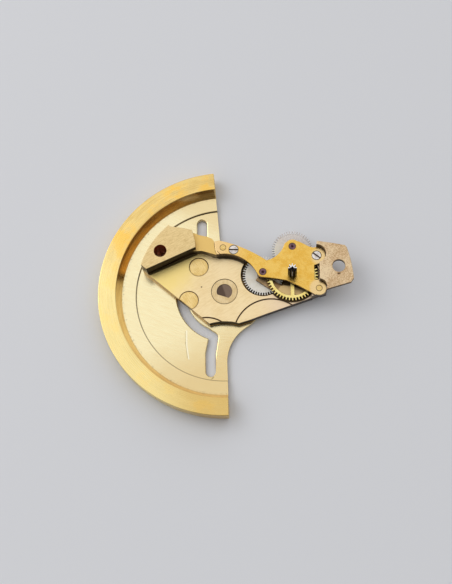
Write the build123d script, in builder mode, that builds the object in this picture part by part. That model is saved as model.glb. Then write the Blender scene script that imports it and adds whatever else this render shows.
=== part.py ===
from build123d import *
import os
from math import acos, asin, atan2, cos, degrees, hypot, radians, sin, sqrt

# Automatic winding rotor with its winding train, lying rotor down, train up.
# Millimetres. The origin is on the rotor's axis, in the plane that the heavy
# rim rests on. +Z points away from the rotor, towards the movement.

os.makedirs("parts", exist_ok=True)

# Winding train: these drive the layout of the whole bridge.
train_module = 0.085
rotor_gear_teeth = 54
reverser_teeth = 48
near_angle = 23.7
pair_angle = 41.5
output_module = 0.106
output_teeth = 48
reverser_leaves = 9
final_module = 0.092
final_leaves = 8
tooth_share = 0.42
tooth_foot_share = 1.25
# Height above the pitch circle in modules, and width against that at the circle.
tooth_shares = [(-tooth_foot_share, 1.05), (0, 1), (0.60, 0.72), (0.95, 0.30)]

# Rotor.
rotor_start_angle = 95.0
rotor_end_angle = 272.0
weight_height = 1.9
weight_top_width = 1.82
weight_lean = 0.56
weight_bevel = 0.4
weight_edge = 0.06
web_set_back = 0.10
web_thickness = 0.33
web_ring_rise = 0.20
web_lap = 0.98
web_step_gap = 0.35
hub_lobe_radius = 4.22
upper_neck_radius = 2.2
lower_neck_radius = 4.2
slot_width = 1.0

# Heights of the stack, upwards from the web.
running_gap = 0.10
lower_bridge_thickness = 0.25
wheel_gap = 0.06
reverser_thickness = 0.20
skin_gap = 0.08
skin_thickness = 0.23
output_gap = 0.25
output_thickness = 0.25
bridge_gap = 0.10
bridge_thickness = 0.40
foot_rise = 0.70
foot_thickness = 0.40
riser_gap = 0.20

# Fits and small clearances.
shaft_gap = 0.02
seat_gap = 0.02
pocket_gap = 0.17
side_gap = 0.15
overrun = 0.5

# Axle, bush and washer.
axle_radius = 0.80
axle_flat_share = 0.65
axle_flat_angle = -108.4
axle_recess = 0.05
washer_radius = 1.33
washer_thickness = 0.12
bush_wall = 0.22
boss_wall = 0.21
sleeve_gap = 0.14
sleeve_wall = 0.40
sleeve_shoulder = 0.20

# Arbors, jewels and pivots.
arbor_radius = 0.20
pivot_radius = 0.075
upper_jewel_radius = 0.34
lower_jewel_radius = 0.30
output_jewel_radius = 0.36
output_jewel_depth = 0.30
oil_sink_radius = 0.16
oil_sink_depth = 0.08
pivot_end_gap = 0.03
output_arbor_radius = 0.22
output_seat_radius = 0.34
output_pivot_radius = 0.10
final_pinion_gap = 0.10
final_pinion_length = 1.95
final_pivot_length = 0.20

# Ratchet and clicks inside each reversing wheel.
ratchet_radius = 0.55
ratchet_teeth = 12
ratchet_depth = 0.10
ratchet_turn_share = 0.1
click_pocket_radius = 1.00
click_pocket_depth = 0.11
click_thickness = 0.08
click_width = 0.16
click_count = 2
click_turn = 60.0

# Output wheel.
output_rim_width = 0.30
output_spoke_width = 0.36
output_spokes = 4
output_hub_radius = 0.62

# Screws, pins and plugs.
bridge_screw_head = 0.46
bridge_screw_head_height = 0.22
bridge_screw_thread = 0.22
bridge_screw_length = 1.00
screw_head_gap = 0.03
screw_slot_width = 0.11
screw_slot_depth = 0.10
left_slot_angle = -2.0
right_slot_angle = -38.0
lower_screw_head = 0.34
lower_screw_head_height = 0.12
lower_screw_thread = 0.17
lower_screw_length = 0.50
lower_screw_slot = 0.08
steady_pin_radius = 0.29
steady_pin_length = 0.90
plug_radius = 0.97
plug_edge = 0.04
mount_hole_radius = 0.65
relief_depth = 0.08
edge_break = 0.03

# Half widths of the bridges round what they carry.
near_lobe = 0.57
far_lobe = 0.75
right_screw_lobe = 0.92
right_pin_lobe = 0.75
lower_arm = 0.62
bar_near_side = 0.90
bar_far_side = 0.10
bar_boss_radius = 0.60
bar_overlap = 0.30
collar_width = 0.45
pillar_wall = 0.33
land_gap = 0.12


def polar(radius, angle):
    return (radius * cos(radians(angle)), radius * sin(radians(angle)))


def plus(p, q):
    return (p[0] + q[0], p[1] + q[1])


def between(p, q):
    return hypot(q[0] - p[0], q[1] - p[1])


def heading(p, q):
    return degrees(atan2(q[1] - p[1], q[0] - p[0]))


# Centres of the train. The output wheel touches both reversing pinions.
rotor_gear_pitch = train_module * rotor_gear_teeth / 2
reverser_pitch = train_module * reverser_teeth / 2
output_pitch = output_module * output_teeth / 2
leaf_pitch = output_module * reverser_leaves / 2
axis = (0, 0)
near = polar(rotor_gear_pitch + reverser_pitch, near_angle)
far = plus(near, polar(2 * reverser_pitch, pair_angle))
output_distance = output_pitch + leaf_pitch
output_turn = degrees(acos(reverser_pitch / output_distance))
output = plus(near, polar(output_distance, pair_angle - output_turn))
reach = hypot(*output)


def places(shares):
    """Outline points, given as shares of the output wheel's distance."""
    return [(x * reach, y * reach) for x, y in shares]


# Radii about the rotor's axis, outwards from the bridge.
plate_reach_share = 1.243
riser_reach_share = 1.464
arc_edge_share = 0.527
foot_reach_share = 1.852
plate_reach = plate_reach_share * reach
riser_reach = riser_reach_share * reach
arc_edge = arc_edge_share * reach
foot_reach = foot_reach_share * reach
web_step_radius = plate_reach + web_step_gap
weight_root = riser_reach + riser_gap
weight_inner = weight_root + weight_lean
rotor_radius = weight_inner + weight_top_width
web_radius = weight_root + web_lap

# Levels.
web_top = web_set_back + web_thickness
web_ring_top = web_top + web_ring_rise
plate_bottom = web_top + running_gap
lower_bridge_top = plate_bottom + lower_bridge_thickness
reverser_bottom = lower_bridge_top + wheel_gap
reverser_top = reverser_bottom + reverser_thickness
skin_bottom = reverser_top + skin_gap
plate_top = skin_bottom + skin_thickness
output_bottom = plate_top + output_gap
output_top = output_bottom + output_thickness
bridge_seat = output_top + bridge_gap
bridge_top = bridge_seat + bridge_thickness
foot_top = bridge_top + foot_rise
foot_bottom = foot_top - foot_thickness
final_bottom = bridge_top + final_pinion_gap
final_top = final_bottom + final_pinion_length
overall_height = final_top + final_pivot_length

# Places on the bridge.
left_screw, right_screw, left_pin, right_pin, left_plug, edge_plug, left_hole, right_hole = places(
    [(0.139, 0.588), (1.333, 0.480), (-0.015, 0.623), (1.359, -0.013),
     (-0.373, 0.376), (-0.514, -0.129), (-0.916, 0.555), (1.643, 0.286)]
)
south_foot, east_foot = places([(0.600, -0.228), (1.090, 0.100)])
bar_angle = -34.3


def mesh_phase(phase, teeth, place, next_teeth, next_place):
    """Angle of one tooth of the next wheel, so that it meshes with this one."""
    line = heading(place, next_place)
    return line + 180 - (phase - line) * teeth / next_teeth - 180 / next_teeth


rotor_gear_phase = near_angle
near_phase = mesh_phase(rotor_gear_phase, rotor_gear_teeth, axis, reverser_teeth, near)
far_phase = mesh_phase(near_phase, reverser_teeth, near, reverser_teeth, far)
output_phase = -90.0
near_leaf_phase = mesh_phase(output_phase, output_teeth, output, reverser_leaves, near)
far_leaf_phase = mesh_phase(output_phase, output_teeth, output, reverser_leaves, far)


def toothed_ring(teeth, module, phase, centre):
    """Watch teeth: nearly radial flanks below the pitch circle, narrowing above it."""
    half = 180 / teeth * tooth_share
    flank = [(module * (teeth / 2 + height), half * width) for height, width in tooth_shares]
    points = []
    for tooth in range(teeth):
        middle = phase + 360 / teeth * tooth
        points += [plus(centre, polar(radius, middle - turn)) for radius, turn in flank]
        points += [plus(centre, polar(radius, middle + turn)) for radius, turn in reversed(flank)]
    with BuildLine() as edge:
        Polyline(*points, close=True)
    make_face(edge.edges())


def disc(centre, radius, mode=Mode.ADD):
    with Locations(centre):
        Circle(radius, mode=mode)


def arm(start, end, half_width, mode=Mode.ADD):
    """A strip with round ends from one place to another."""
    middle = ((start[0] + end[0]) / 2, (start[1] + end[1]) / 2)
    with Locations(Location((*middle, 0), (0, 0, heading(start, end)))):
        SlotCenterToCenter(between(start, end), 2 * half_width, mode=mode)


def outline(shares, mode=Mode.ADD):
    with BuildLine() as edge:
        Polyline(*places(shares), close=True)
    make_face(edge.edges(), mode=mode)


def finish(piece, name):
    piece.part.label = name
    export_step(piece.part, f"parts/{name}.step")


# Rotor web: a flat sector with a round hub, two bent slots and a low step.
slot_arc_share = 0.632
# Each slot: where its arc starts and turns, and the places of its straight leg.
slot_shares = [
    (180.0, 256.0, [(-0.205, -0.892), (-0.200, -1.152)]),
    (160.0, 122.0, [(-0.337, 0.720), (-0.341, 1.085)]),
]


def sector_sketch(radius):
    """The sector beyond the neck, with its concave curves down to the hub."""
    for side, cut_angle, neck_radius in (
        (-1, rotor_start_angle, upper_neck_radius),
        (1, rotor_end_angle, lower_neck_radius),
    ):
        # Distance along the cut edge to where the neck's curve starts.
        neck_reach = sqrt((hub_lobe_radius + neck_radius) ** 2 - neck_radius**2)
        neck_turn = degrees(asin(neck_radius / (hub_lobe_radius + neck_radius)))
        start = polar(neck_reach, cut_angle)
        neck_centre = plus(start, polar(neck_radius, cut_angle + side * 90))
        hub_angle = cut_angle + side * neck_turn
        touch = polar(hub_lobe_radius, hub_angle)
        neck_middle_angle = (hub_angle + cut_angle + side * 90) / 2
        neck_middle = plus(neck_centre, polar(-neck_radius, neck_middle_angle))
        middle_angle = (rotor_start_angle + rotor_end_angle) / 2
        with BuildLine() as half_sector:
            Line(axis, polar(radius, middle_angle))
            ThreePointArc(
                polar(radius, middle_angle),
                polar(radius, (middle_angle + cut_angle) / 2),
                polar(radius, cut_angle),
            )
            Line(polar(radius, cut_angle), start)
            ThreePointArc(start, neck_middle, touch)
            Line(touch, axis)
        make_face(half_sector.edges())


def slot_sketch():
    """Slots that run round the hub and then turn outwards."""
    slot_radius = slot_arc_share * reach
    half = slot_width / 2
    for start_angle, turn_angle, leg_shares in slot_shares:
        with BuildSketch(mode=Mode.PRIVATE) as band:
            Circle(slot_radius + half)
            Circle(slot_radius - half, mode=Mode.SUBTRACT)
            middle_angle = (start_angle + turn_angle) / 2
            corners = [polar(2 * slot_radius, angle) for angle in (start_angle, middle_angle, turn_angle)]
            with BuildLine() as span:
                Polyline(axis, *corners, close=True)
            make_face(span.edges(), mode=Mode.INTERSECT)
        add(band.sketch)
        disc(polar(slot_radius, start_angle), half)
        turn = polar(slot_radius, turn_angle)
        leg_start, leg_end = places(leg_shares)
        arm(turn, leg_start, half)
        arm(leg_start, leg_end, half)


hub_bore = axle_radius + shaft_gap + bush_wall + boss_wall + sleeve_gap
spigot_radius = hub_bore + sleeve_shoulder

with BuildPart() as rotor_web:
    with BuildSketch(Plane.XY.offset(web_set_back)):
        sector_sketch(web_radius)
        Circle(hub_lobe_radius)
    extrude(amount=web_thickness)
    with BuildSketch(Plane.XY.offset(web_top)):
        sector_sketch(web_radius)
        Circle(web_step_radius, mode=Mode.SUBTRACT)
    extrude(amount=web_ring_rise)
    with BuildSketch(Plane.XY.offset(web_set_back)):
        slot_sketch()
        Circle(spigot_radius)
    extrude(amount=web_thickness, mode=Mode.SUBTRACT)
finish(rotor_web, "rotor_web")

# Heavy rim: its inner wall leans outwards, its outer foot is bevelled.
with BuildPart() as rotor_weight:
    with BuildSketch(Plane.XZ):
        with BuildLine():
            Polyline(
                (web_radius, 0),
                (rotor_radius - weight_bevel, 0),
                (rotor_radius, weight_bevel),
                (rotor_radius, weight_height - weight_edge),
                (rotor_radius - weight_edge, weight_height),
                (weight_inner, weight_height),
                (weight_root, web_ring_top),
                (web_radius, web_ring_top),
                close=True,
            )
        make_face()
    revolve(axis=Axis.Z, revolution_arc=rotor_end_angle - rotor_start_angle)
rotor_weight.part = rotor_weight.part.rotate(Axis.Z, rotor_start_angle)
finish(rotor_weight, "rotor_weight")

# Drive gear on a sleeve that is riveted into the web.
with BuildPart() as rotor_gear:
    with BuildSketch(Plane.XY.offset(web_set_back)):
        Circle(spigot_radius)
    extrude(amount=web_thickness)
    with BuildSketch(Plane.XY.offset(web_top)):
        Circle(hub_bore + sleeve_wall)
    extrude(amount=reverser_bottom - web_top)
    with BuildSketch(Plane.XY.offset(reverser_bottom)):
        toothed_ring(rotor_gear_teeth, train_module, rotor_gear_phase, axis)
    extrude(amount=reverser_thickness)
    Hole(hub_bore)
finish(rotor_gear, "rotor_gear")


def axle_end():
    """The axle's end section: round, with one flat."""
    Circle(axle_radius)
    cut = polar(axle_radius * (axle_flat_share + 1), axle_flat_angle)
    with Locations(Location((*cut, 0), (0, 0, axle_flat_angle))):
        Rectangle(2 * axle_radius, 2 * axle_radius, mode=Mode.SUBTRACT)


# Steel axle: a flange pressed in the sleeve, level with the rim's underside,
# a journal, and the flatted end.
washer_bottom = plate_top - washer_thickness
with BuildPart() as rotor_axle:
    with BuildSketch(Plane.XY):
        Circle(hub_bore)
    extrude(amount=web_top)
    with BuildSketch(Plane.XY.offset(web_top)):
        Circle(axle_radius)
    extrude(amount=washer_bottom - web_top)
    with BuildSketch(Plane.XY.offset(washer_bottom)):
        axle_end()
    extrude(amount=washer_thickness - axle_recess)
finish(rotor_axle, "rotor_axle")

# Washer that turns with the axle and holds the rotor under the plate.
with BuildPart() as axle_washer:
    with BuildSketch(Plane.XY.offset(washer_bottom)):
        Circle(washer_radius)
    extrude(amount=washer_thickness)
    with BuildSketch(Plane.XY.offset(washer_bottom)):
        axle_end()
    extrude(amount=washer_thickness, mode=Mode.SUBTRACT)
    chamfer(axle_washer.faces().sort_by(Axis.Z)[-1].outer_wire().edges(), edge_break)
finish(axle_washer, "axle_washer")

# Main plate outline, as shares of the output wheel's distance.
left_plate_shares = [
    (-1.349, 0.482), (-0.214, -0.475), (-0.143, -0.458), (-0.049, -0.445), (0.105, -0.452),
    (0.207, -0.475), (0.362, -0.428), (0.632, -0.329), (0.632, 0.400), (0.436, 0.492), (0.197, 0.618),
    (-0.070, 0.716), (-0.145, 0.722), (-0.174, 0.761), (-0.248, 0.796), (-0.355, 0.820), (-0.421, 0.849),
    (-0.459, 0.870), (-0.589, 0.901), (-0.783, 0.931), (-0.871, 1.068), (-1.349, 0.843),
]
right_plate_shares = [
    (0.604, -0.339), (1.292, -0.101), (1.517, -0.021), (1.517, 0.436),
    (1.447, 0.548), (1.349, 0.562), (0.604, 0.400),
]
right_land_shares = [(1.250, -0.117), *right_plate_shares[2:6], (1.250, 0.562)]
left_land_shares = [
    (-0.200, 0.700), (-0.145, 0.722), (-0.070, 0.716), (0.197, 0.618),
    (0.320, 0.555), (0.300, 0.430), (-0.100, 0.480), (-0.200, 0.600),
]
pad_end_shares = [(-0.105, 0.509), (-0.128, 0.573), (-0.140, 0.643), (-0.145, 0.722)]
pad_shares = [
    (-0.470, 0.575), (-0.322, 0.577), (-0.225, 0.548), *pad_end_shares,
    (-0.174, 0.761), (-0.248, 0.796), (-0.355, 0.820), (-0.421, 0.849), (-0.470, 0.860),
]
block_shares = [
    (-1.111, 0.280), (-0.405, 0.603), (-0.413, 0.698), (-0.441, 0.802),
    *left_plate_shares[-5:], (-1.349, 0.482),
]
foot_shares = [
    (1.338, 0.668), (1.545, 0.635), (1.735, 0.597), (1.773, 0.555), (1.911, 0.421), (1.911, 0.155),
    (1.843, 0.087), (1.810, 0.038), (1.652, -0.006), (1.479, -0.056), (1.370, -0.084),
    (1.370, 0.530), (1.318, 0.560),
]
riser_shares = foot_shares[1:12]
relief_shares = [((0.6645, -0.656), 0.535), ((-0.262, -0.794), 0.409)]

pocket_radius = reverser_pitch + train_module + pocket_gap
gear_pocket_radius = rotor_gear_pitch + train_module + pocket_gap
output_pocket_radius = output_pitch + output_module + land_gap
boss_radius = axle_radius + shaft_gap + bush_wall + boss_wall
bush_radius = boss_radius - boss_wall
screw_bottom = bridge_top - bridge_screw_head_height - bridge_screw_length
pin_bottom = bridge_top - steady_pin_length


def left_plate_sketch():
    outline(left_plate_shares)
    Circle(plate_reach, mode=Mode.INTERSECT)


def lower_bridge_sketch(half_width):
    for start, end in ((near, south_foot), (near, east_foot), (far, east_foot)):
        arm(start, end, half_width)


with BuildPart() as main_plate:
    with BuildSketch(Plane.XY.offset(plate_bottom)):
        left_plate_sketch()
    extrude(amount=plate_top - plate_bottom)
    with BuildSketch(Plane.XY.offset(plate_bottom)):
        outline(right_plate_shares)
        Circle(riser_reach, mode=Mode.INTERSECT)
        disc(right_screw, bridge_screw_thread + pillar_wall)
    extrude(amount=plate_top - plate_bottom)
    # Lands that carry the upper bridge.
    with BuildSketch(Plane.XY.offset(plate_bottom)):
        outline(left_land_shares)
        Circle(arc_edge, mode=Mode.SUBTRACT)
    extrude(amount=bridge_seat - plate_bottom)
    with BuildSketch(Plane.XY.offset(plate_bottom)):
        outline(right_land_shares)
        Circle(riser_reach, mode=Mode.INTERSECT)
        disc(right_screw, bridge_screw_thread + pillar_wall)
        disc(output, output_pocket_radius, mode=Mode.SUBTRACT)
    extrude(amount=bridge_seat - plate_bottom)
    # Pad that the bridge's end meets, and the two screwed feet.
    with BuildSketch(Plane.XY.offset(plate_bottom)):
        outline(pad_shares)
    extrude(amount=bridge_top - plate_bottom)
    with BuildSketch(Plane.XY.offset(plate_bottom)):
        outline(block_shares)
        Circle(plate_reach, mode=Mode.INTERSECT)
    extrude(amount=foot_top - plate_bottom)
    for shares, reach_radius, bottom in (
        (riser_shares, riser_reach, plate_bottom),
        (foot_shares, foot_reach, foot_bottom),
    ):
        with BuildSketch(Plane.XY.offset(bottom)):
            outline(shares)
            Circle(reach_radius, mode=Mode.INTERSECT)
        extrude(amount=foot_top - bottom)
    # The thin foot is deeper where it reaches round the screw's lobe.
    with BuildSketch(Plane.XY.offset(bridge_seat)):
        outline(foot_shares)
        disc(right_screw, right_screw_lobe + screw_head_gap + collar_width, mode=Mode.INTERSECT)
    extrude(amount=foot_top - bridge_seat)
    for centre, lobe in ((right_screw, right_screw_lobe), (right_pin, right_pin_lobe)):
        with BuildSketch(Plane.XY.offset(bridge_seat)):
            disc(centre, lobe + screw_head_gap)
        extrude(amount=foot_top + overrun - bridge_seat, mode=Mode.SUBTRACT)
    # Room for the turning rotor.
    with BuildSketch(Plane.XZ):
        with BuildLine():
            Polyline(
                (web_step_radius - side_gap, 0),
                (web_step_radius - side_gap, web_ring_top + running_gap),
                (weight_root - side_gap, web_ring_top + running_gap),
                (weight_inner - side_gap, weight_height + running_gap),
                (foot_reach + overrun, weight_height + running_gap),
                (foot_reach + overrun, 0),
                close=True,
            )
        make_face()
    revolve(axis=Axis.Z, mode=Mode.SUBTRACT)
    # Pockets of the rotor gear and the reversing wheels.
    with BuildSketch(Plane.XY.offset(plate_bottom)):
        Circle(gear_pocket_radius)
        Circle(boss_radius, mode=Mode.SUBTRACT)
        disc(near, pocket_radius)
    extrude(amount=skin_bottom - plate_bottom, mode=Mode.SUBTRACT)
    with BuildSketch(Plane.XY.offset(plate_bottom)):
        disc(far, pocket_radius)
    extrude(amount=bridge_seat - plate_bottom, mode=Mode.SUBTRACT)
    with BuildSketch(Plane.XY.offset(skin_bottom)):
        disc(near, pocket_radius)
        # The bar runs from under the near jewel to the pocket's lower right side.
        bar_width = bar_near_side + bar_far_side
        bar_length = bar_overlap + 2 * pocket_radius
        bar_start = plus(near, polar((bar_near_side - bar_far_side) / 2, bar_angle - 90))
        bar_middle = plus(bar_start, polar(bar_length / 2 - bar_overlap, bar_angle))
        with Locations(Location((*bar_middle, 0), (0, 0, bar_angle))):
            Rectangle(bar_length, bar_width, mode=Mode.SUBTRACT)
        disc(near, bar_boss_radius, mode=Mode.SUBTRACT)
    extrude(amount=bridge_seat - skin_bottom, mode=Mode.SUBTRACT)
    with BuildSketch(Plane.XY.offset(skin_bottom)):
        disc(near, arbor_radius + land_gap)
    extrude(amount=skin_thickness, mode=Mode.SUBTRACT)
    # Two shallow steps in the plate's edge.
    with BuildSketch(Plane.XY.offset(plate_top - relief_depth)):
        for centre_share, radius_share in relief_shares:
            disc(places([centre_share])[0], radius_share * reach)
    extrude(amount=relief_depth, mode=Mode.SUBTRACT)
    # Bores: bush, washer, output jewel, pins, screws, plugs and mounting holes.
    with BuildSketch(Plane.XY.offset(plate_bottom)):
        Circle(bush_radius)
    extrude(amount=plate_top - plate_bottom, mode=Mode.SUBTRACT)
    with BuildSketch(Plane.XY.offset(washer_bottom - seat_gap)):
        Circle(washer_radius + shaft_gap)
    extrude(amount=washer_thickness + seat_gap, mode=Mode.SUBTRACT)
    with BuildSketch(Plane.XY.offset(plate_top - output_jewel_depth)):
        disc(output, output_jewel_radius)
    extrude(amount=output_jewel_depth, mode=Mode.SUBTRACT)
    with BuildSketch(Plane.XY.offset(screw_bottom)):
        disc(left_screw, bridge_screw_thread)
        disc(right_screw, bridge_screw_thread)
    extrude(amount=bridge_seat - screw_bottom, mode=Mode.SUBTRACT)
    with BuildSketch(Plane.XY.offset(pin_bottom)):
        disc(left_pin, steady_pin_radius)
        disc(right_pin, steady_pin_radius)
    extrude(amount=bridge_seat - pin_bottom, mode=Mode.SUBTRACT)
    with BuildSketch(Plane.XY.offset(plate_bottom)):
        disc(left_plug, plug_radius)
        disc(edge_plug, plug_radius)
    extrude(amount=plate_top - plate_bottom, mode=Mode.SUBTRACT)
    with BuildSketch(Plane.XY.offset(plate_bottom)):
        disc(left_hole, mount_hole_radius)
        disc(right_hole, mount_hole_radius)
    extrude(amount=foot_top - plate_bottom, mode=Mode.SUBTRACT)
    # Seat of the lower bridge and its screws.
    with BuildSketch(Plane.XY.offset(plate_bottom)):
        lower_bridge_sketch(lower_arm + seat_gap)
    extrude(amount=lower_bridge_thickness, mode=Mode.SUBTRACT)
    with BuildSketch(Plane.XY.offset(lower_bridge_top)):
        disc(south_foot, lower_screw_thread)
        disc(east_foot, lower_screw_thread)
    lower_thread_depth = lower_screw_head_height + lower_screw_length - lower_bridge_thickness
    extrude(amount=lower_thread_depth, mode=Mode.SUBTRACT)
    # Broken edges of the two ground seats.
    chamfer(main_plate.faces().filter_by(Axis.Z).group_by(Axis.Z)[-1].edges(), edge_break)
finish(main_plate, "main_plate")

# Brass plugs, faced flush with the plate, one of them cut by its edge.
with BuildPart() as plate_plugs:
    for centre in (left_plug, edge_plug):
        with BuildSketch(Plane.XY.offset(plate_bottom)):
            left_plate_sketch()
            with Locations(centre):
                Circle(plug_radius, mode=Mode.INTERSECT)
        extrude(amount=plate_top - plate_bottom)
    chamfer(plate_plugs.faces().filter_by(Axis.Z).group_by(Axis.Z)[-1].edges(), plug_edge)
finish(plate_plugs, "plate_plugs")

with BuildPart() as axle_bush:
    with BuildSketch(Plane.XY.offset(plate_bottom)):
        Circle(bush_radius)
        Circle(axle_radius + shaft_gap, mode=Mode.SUBTRACT)
    extrude(amount=washer_bottom - seat_gap - plate_bottom)
finish(axle_bush, "axle_bush")

# Upper bridge: its inner edge is an arc about the rotor's axis.
bridge_upper_shares = [(-0.070, 0.735), (0.309, 0.600), (0.615, 0.417), (0.783, 0.510), (0.877, 0.672)]
bridge_right_shares = [
    (0.940, 0.720), (1.083, 0.699), (1.159, 0.659), (1.222, 0.621), (1.305, 0.597), (1.368, 0.354),
    (1.304, 0.333), (1.298, 0.115), (1.361, 0.118), (1.390, -0.040), (1.305, -0.114), (1.238, -0.072),
    (1.080, 0.018), (0.943, 0.090), (0.892, 0.112), (0.702, 0.146), (0.560, 0.164),
    (0.470, 0.230), (0.400, 0.200), (0.000, 0.420),
]
with BuildPart() as upper_bridge:
    with BuildSketch(Plane.XY.offset(bridge_seat)):
        upper = places(bridge_upper_shares)
        joint_line = [plus(point, (screw_head_gap, 0)) for point in places(pad_end_shares)]
        with BuildLine():
            Polyline(*joint_line, upper[0])
            ThreePointArc(upper[0], upper[1], upper[2])
            ThreePointArc(upper[2], upper[3], upper[4])
            Polyline(upper[4], *places(bridge_right_shares), joint_line[0])
        make_face()
        Circle(arc_edge, mode=Mode.SUBTRACT)
        disc(near, near_lobe)
        disc(far, far_lobe)
        disc(right_screw, right_screw_lobe)
        disc(right_pin, right_pin_lobe)
        window_low, window_high = places([(1.298, 0.115), (1.420, 0.333)])
        with Locations(((window_low[0] + window_high[0]) / 2, (window_low[1] + window_high[1]) / 2)):
            Rectangle(window_high[0] - window_low[0], window_high[1] - window_low[1], mode=Mode.SUBTRACT)
    extrude(amount=bridge_thickness)
    with BuildSketch(Plane.XY.offset(bridge_seat)):
        disc(near, upper_jewel_radius)
        disc(far, upper_jewel_radius)
        disc(output, output_arbor_radius + shaft_gap)
        disc(left_screw, bridge_screw_thread)
        disc(right_screw, bridge_screw_thread)
        disc(left_pin, steady_pin_radius)
        disc(right_pin, steady_pin_radius)
    extrude(amount=bridge_thickness, mode=Mode.SUBTRACT)
    with BuildSketch(Plane.XY.offset(bridge_top - bridge_screw_head_height)):
        disc(left_screw, bridge_screw_head + screw_head_gap)
        disc(right_screw, bridge_screw_head + screw_head_gap)
    extrude(amount=bridge_screw_head_height, mode=Mode.SUBTRACT)
    chamfer(upper_bridge.faces().sort_by(Axis.Z)[-1].outer_wire().edges(), edge_break)
finish(upper_bridge, "upper_bridge")

with BuildPart() as bridge_screws:
    for centre, slot_angle in ((left_screw, left_slot_angle), (right_screw, right_slot_angle)):
        with BuildSketch(Plane.XY.offset(screw_bottom)):
            disc(centre, bridge_screw_thread)
        extrude(amount=bridge_screw_length)
        with BuildSketch(Plane.XY.offset(bridge_top - bridge_screw_head_height)):
            disc(centre, bridge_screw_head)
        extrude(amount=bridge_screw_head_height)
        with BuildSketch(Plane.XY.offset(bridge_top - screw_slot_depth)):
            with Locations(Location((*centre, 0), (0, 0, slot_angle))):
                Rectangle(3 * bridge_screw_head, screw_slot_width)
        extrude(amount=screw_slot_depth, mode=Mode.SUBTRACT)
finish(bridge_screws, "bridge_screws")

with BuildPart() as steady_pins:
    with BuildSketch(Plane.XY.offset(pin_bottom)):
        disc(left_pin, steady_pin_radius)
        disc(right_pin, steady_pin_radius)
    extrude(amount=steady_pin_length)
finish(steady_pins, "steady_pins")

# Lower bridge: a bent strip let into the plate's underside.
with BuildPart() as lower_bridge:
    with BuildSketch(Plane.XY.offset(plate_bottom)):
        lower_bridge_sketch(lower_arm)
        disc(near, lower_jewel_radius, mode=Mode.SUBTRACT)
        disc(far, lower_jewel_radius, mode=Mode.SUBTRACT)
        disc(south_foot, lower_screw_thread, mode=Mode.SUBTRACT)
        disc(east_foot, lower_screw_thread, mode=Mode.SUBTRACT)
    extrude(amount=lower_bridge_thickness)
    with BuildSketch(Plane.XY.offset(plate_bottom)):
        disc(south_foot, lower_screw_head + screw_head_gap)
        disc(east_foot, lower_screw_head + screw_head_gap)
    extrude(amount=lower_screw_head_height, mode=Mode.SUBTRACT)
finish(lower_bridge, "lower_bridge")

with BuildPart() as lower_bridge_screws:
    for centre in (south_foot, east_foot):
        with BuildSketch(Plane.XY.offset(plate_bottom)):
            disc(centre, lower_screw_head)
        extrude(amount=lower_screw_head_height)
        with BuildSketch(Plane.XY.offset(plate_bottom + lower_screw_head_height)):
            disc(centre, lower_screw_thread)
        extrude(amount=lower_screw_length)
        with BuildSketch(Plane.XY.offset(plate_bottom)):
            with Locations(centre):
                Rectangle(3 * lower_screw_head, lower_screw_slot)
        extrude(amount=lower_screw_head_height / 2, mode=Mode.SUBTRACT)
finish(lower_bridge_screws, "lower_bridge_screws")

# Jewels: a ruby disc with a pivot hole and an oil sink on its outer side.
jewel_rows = [
    ("near_upper_jewel", near, bridge_seat, bridge_thickness, upper_jewel_radius, pivot_radius, 1),
    ("far_upper_jewel", far, bridge_seat, bridge_thickness, upper_jewel_radius, pivot_radius, 1),
    ("near_lower_jewel", near, plate_bottom, lower_bridge_thickness, lower_jewel_radius, pivot_radius, -1),
    ("far_lower_jewel", far, plate_bottom, lower_bridge_thickness, lower_jewel_radius, pivot_radius, -1),
    ("output_jewel", output, plate_top - output_jewel_depth, output_jewel_depth,
     output_jewel_radius, output_pivot_radius, 1),
]
for name, centre, bottom, height, radius, pivot, side in jewel_rows:
    outer_face = bottom + height if side > 0 else bottom
    with BuildPart() as jewel:
        with BuildSketch(Plane.XY.offset(bottom)):
            disc(centre, radius)
            disc(centre, pivot + shaft_gap, mode=Mode.SUBTRACT)
        extrude(amount=height)
        with Locations((*centre, outer_face - side * oil_sink_depth / 2)):
            if side > 0:
                Cone(pivot + shaft_gap, oil_sink_radius, oil_sink_depth, mode=Mode.SUBTRACT)
            else:
                Cone(oil_sink_radius, pivot + shaft_gap, oil_sink_depth, mode=Mode.SUBTRACT)
    finish(jewel, name)

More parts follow.
